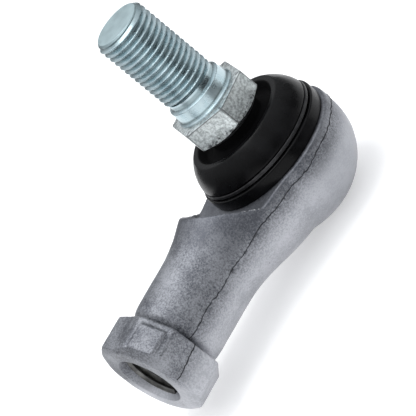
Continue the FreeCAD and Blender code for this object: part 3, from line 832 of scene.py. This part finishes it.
def shapeShank():
    foot, top = stud["hexFoot"], stud["hexFoot"] + stud["hexHeight"]
    corners = [
        (0, stud["weld"]), (stud["neck"], stud["weld"]), (stud["neck"], foot + 1), (stud["ring"], foot + 1),
        (stud["ring"], top + 0.5, 0.15), (stud["collar"] + 0.12, top + 1.05, 0.3),
        (stud["collar"], stud["collarTop"], 0.25), (stud["relief"], stud["collarTop"] + 0.42, 0.2),
        (stud["relief"] + 0.02, stud["threadFrom"] + 0.4), (0, stud["threadFrom"] + 0.4)]
    return lathe("shank", corners, steps=144)


def shapeStudThread():
    low, tip = stud["threadFrom"], stud["tip"]
    major, minor = stud["major"], stud["minor"]
    ridge = [(minor, 0), (minor + 0.04, 0.08), (major - 0.12, 0.40), (major - 0.03, 0.445), (major, 0.5),
             (major - 0.03, 0.555), (major - 0.12, 0.60), (minor + 0.04, 0.92), (minor, 1.0)]
    turns = math.ceil((tip - low) / stud["pitch"]) + 3
    thread = screwThread("studThread", ridge, stud["pitch"], turns, low - 1.9)
    trimThread(thread, low - 0.3, tip + 0.3)
    envelope = lathe("threadEnvelope", [
        (0, low), (stud["relief"] - 0.15, low), (major + 0.02, low + 0.55),
        (major + 0.02, tip - stud["tipChamfer"], 0.3), (stud["tipRadius"], tip, 0.15), (0, tip)],
        steps=144)
    return combine(thread, envelope, "INTERSECT")


studBody = combine(shapeShank(), shapeHexagon(), "UNION")
studBody = combine(studBody, shapeStudThread(), "UNION")
studBody.name = "threadedStud"
faceOut(studBody)
finishWith(studBody, "DISPLACE", texture=texture("plating", 1.6 * mm), texture_coords="LOCAL",
           strength=0.03 * mm, mid_level=0.5)
smooth(studBody, 28)
dress(studBody, zincPlate())
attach(studBody, "stud")
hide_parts("stud")
print("stud", len(studBody.data.polygons), "faces")


boot = {
    "foot": bootLow.z / mm, "flange": bootHigh.x / mm, "flangeTop": 6.95, "groove": 16.1, "bead": 8.3,
    "dome": 16.25, "domeBulge": (15.72, 11.81, 9.6), "lip": 13.1, "lipTop": 14.2, "lipInside": 11.675,
    "trough": (10.3, 11.1), "sleeve": 7.35, "sleeveFoot": 12.9, "top": bootHigh.z / mm, "shank": 5.55,
    "grip": 14.85, "gripTop": 8.45, "web": (6.75, 12.4), "under": [(9.7, 9.9), (11.9, 10.7)],
    "blendFrom": 8.2, "blendTo": 14.4,
}


def shapeBoot():
    piece = lathe("rubberBoot", [
        (boot["grip"], boot["foot"]),
        (boot["flange"], boot["foot"], 0.3),
        (boot["flange"], boot["flangeTop"], 0.4),
        (boot["groove"], boot["flangeTop"], 0.15),
        (boot["groove"], boot["bead"], 0.12),
        (boot["dome"] + 0.35, boot["bead"], 0.3),
        boot["domeBulge"],
        (boot["lip"], boot["lipTop"], 0.7),
        (boot["lipInside"], boot["lipTop"], 0.55),
        (boot["trough"][0], boot["trough"][1], 1.2),
        (boot["sleeve"], boot["sleeveFoot"], 0.5),
        (boot["sleeve"], boot["top"], 0.25),
        (boot["shank"], boot["top"], 0.2),
        (boot["shank"], boot["blendTo"], 0.3),
        (*boot["web"], 0.15),  # wider here, so that the leaning neck clears it
        (*boot["under"][0], 1.0),
        (*boot["under"][1], 1.0),
        (boot["grip"], boot["gripTop"], 0.2),
    ], steps=144, closed=True, rounding=7)
    finishWith(piece, "DISPLACE", texture=texture("moulding", 4.5 * mm), texture_coords="LOCAL",
               strength=0.06 * mm, mid_level=0.5)
    return faceOut(piece)


def wireRing(name, radius, wire, height, turns, rise):
    putDown()
    bpy.ops.mesh.primitive_circle_add(
        vertices=16, radius=wire * mm, fill_type="NGON",
        location=(radius * mm, 0, (height - rise / 2) * mm), rotation=(turn / 4, 0, 0))
    ring = settle(name)
    bpy.ops.object.mode_set(mode="EDIT")
    bpy.ops.mesh.select_all(action="SELECT")
    bpy.ops.mesh.delete(type="ONLY_FACE")
    steps = int(96 * turns)
    finishWith(ring, "SCREW", axis="Z", angle=turn * turns, screw_offset=rise * mm, iterations=1,
               steps=steps, render_steps=steps, use_smooth_shade=True)
    pick(ring, "EDGE", lambda e: True)
    bpy.ops.mesh.select_all(action="DESELECT")
    bpy.ops.mesh.select_non_manifold()
    bpy.ops.mesh.edge_face_add()
    return faceOut(ring)


rubber = shapeBoot()
smooth(rubber, 50)
dress(rubber, blackRubber())
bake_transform(rubber)
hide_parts("dust_boot")
print("boot", len(rubber.data.polygons), "faces")

blackWire = plainMetal("blackWire", (0.012, 0.012, 0.013), (0.035, 0.035, 0.037), (0.35, 0.5), 0.3, 0.6)
rings = {"wire": 0.3, "clampTurns": 1.94, "clampRise": 0.62, "garterTurns": 0.97}
clampHeight = (clampLow.z + clampHigh.z) / 2 / mm
garterHeight = (garterLow.z + garterHigh.z) / 2 / mm
clampRing = wireRing("clampRing", boot["groove"] + 0.37, rings["wire"], clampHeight,
                     rings["clampTurns"], rings["clampRise"])
garterRing = wireRing("garterRing", garterHigh.x / mm - 0.35, rings["wire"], garterHeight,
                      rings["garterTurns"], 0.0)
for ring, body, node in ((clampRing, "boot", "boot_clamp"), (garterRing, "boot_top", "neck_ring")):
    smooth(ring, 60)
    dress(ring, blackWire)
    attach(ring, body)
    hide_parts(node)
print("rings")


insides = {
    "ball": plainMetal("groundSteel", (0.52, 0.53, 0.55), (0.70, 0.71, 0.72), (0.08, 0.16), 0.2),
    "lower_seat": plainMetal("seatPlastic", (0.62, 0.60, 0.54), (0.70, 0.68, 0.62), (0.35, 0.5), 0.6, 0.0),
    "preload_spring": plainMetal("temperedSteel", (0.10, 0.11, 0.15), (0.22, 0.22, 0.26), (0.25, 0.4)),
    "thrust_ring": plainMetal("stampedSteel", (0.45, 0.46, 0.47), (0.58, 0.59, 0.60), (0.28, 0.42)),
    "retaining_ring": plainMetal("phosphatedSteel", (0.05, 0.05, 0.05), (0.10, 0.10, 0.10), (0.4, 0.55)),
}
insides["upper_seat"] = insides["lower_seat"]
for node, material in insides.items():
    dress(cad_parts[node], material)
print("inside pieces")
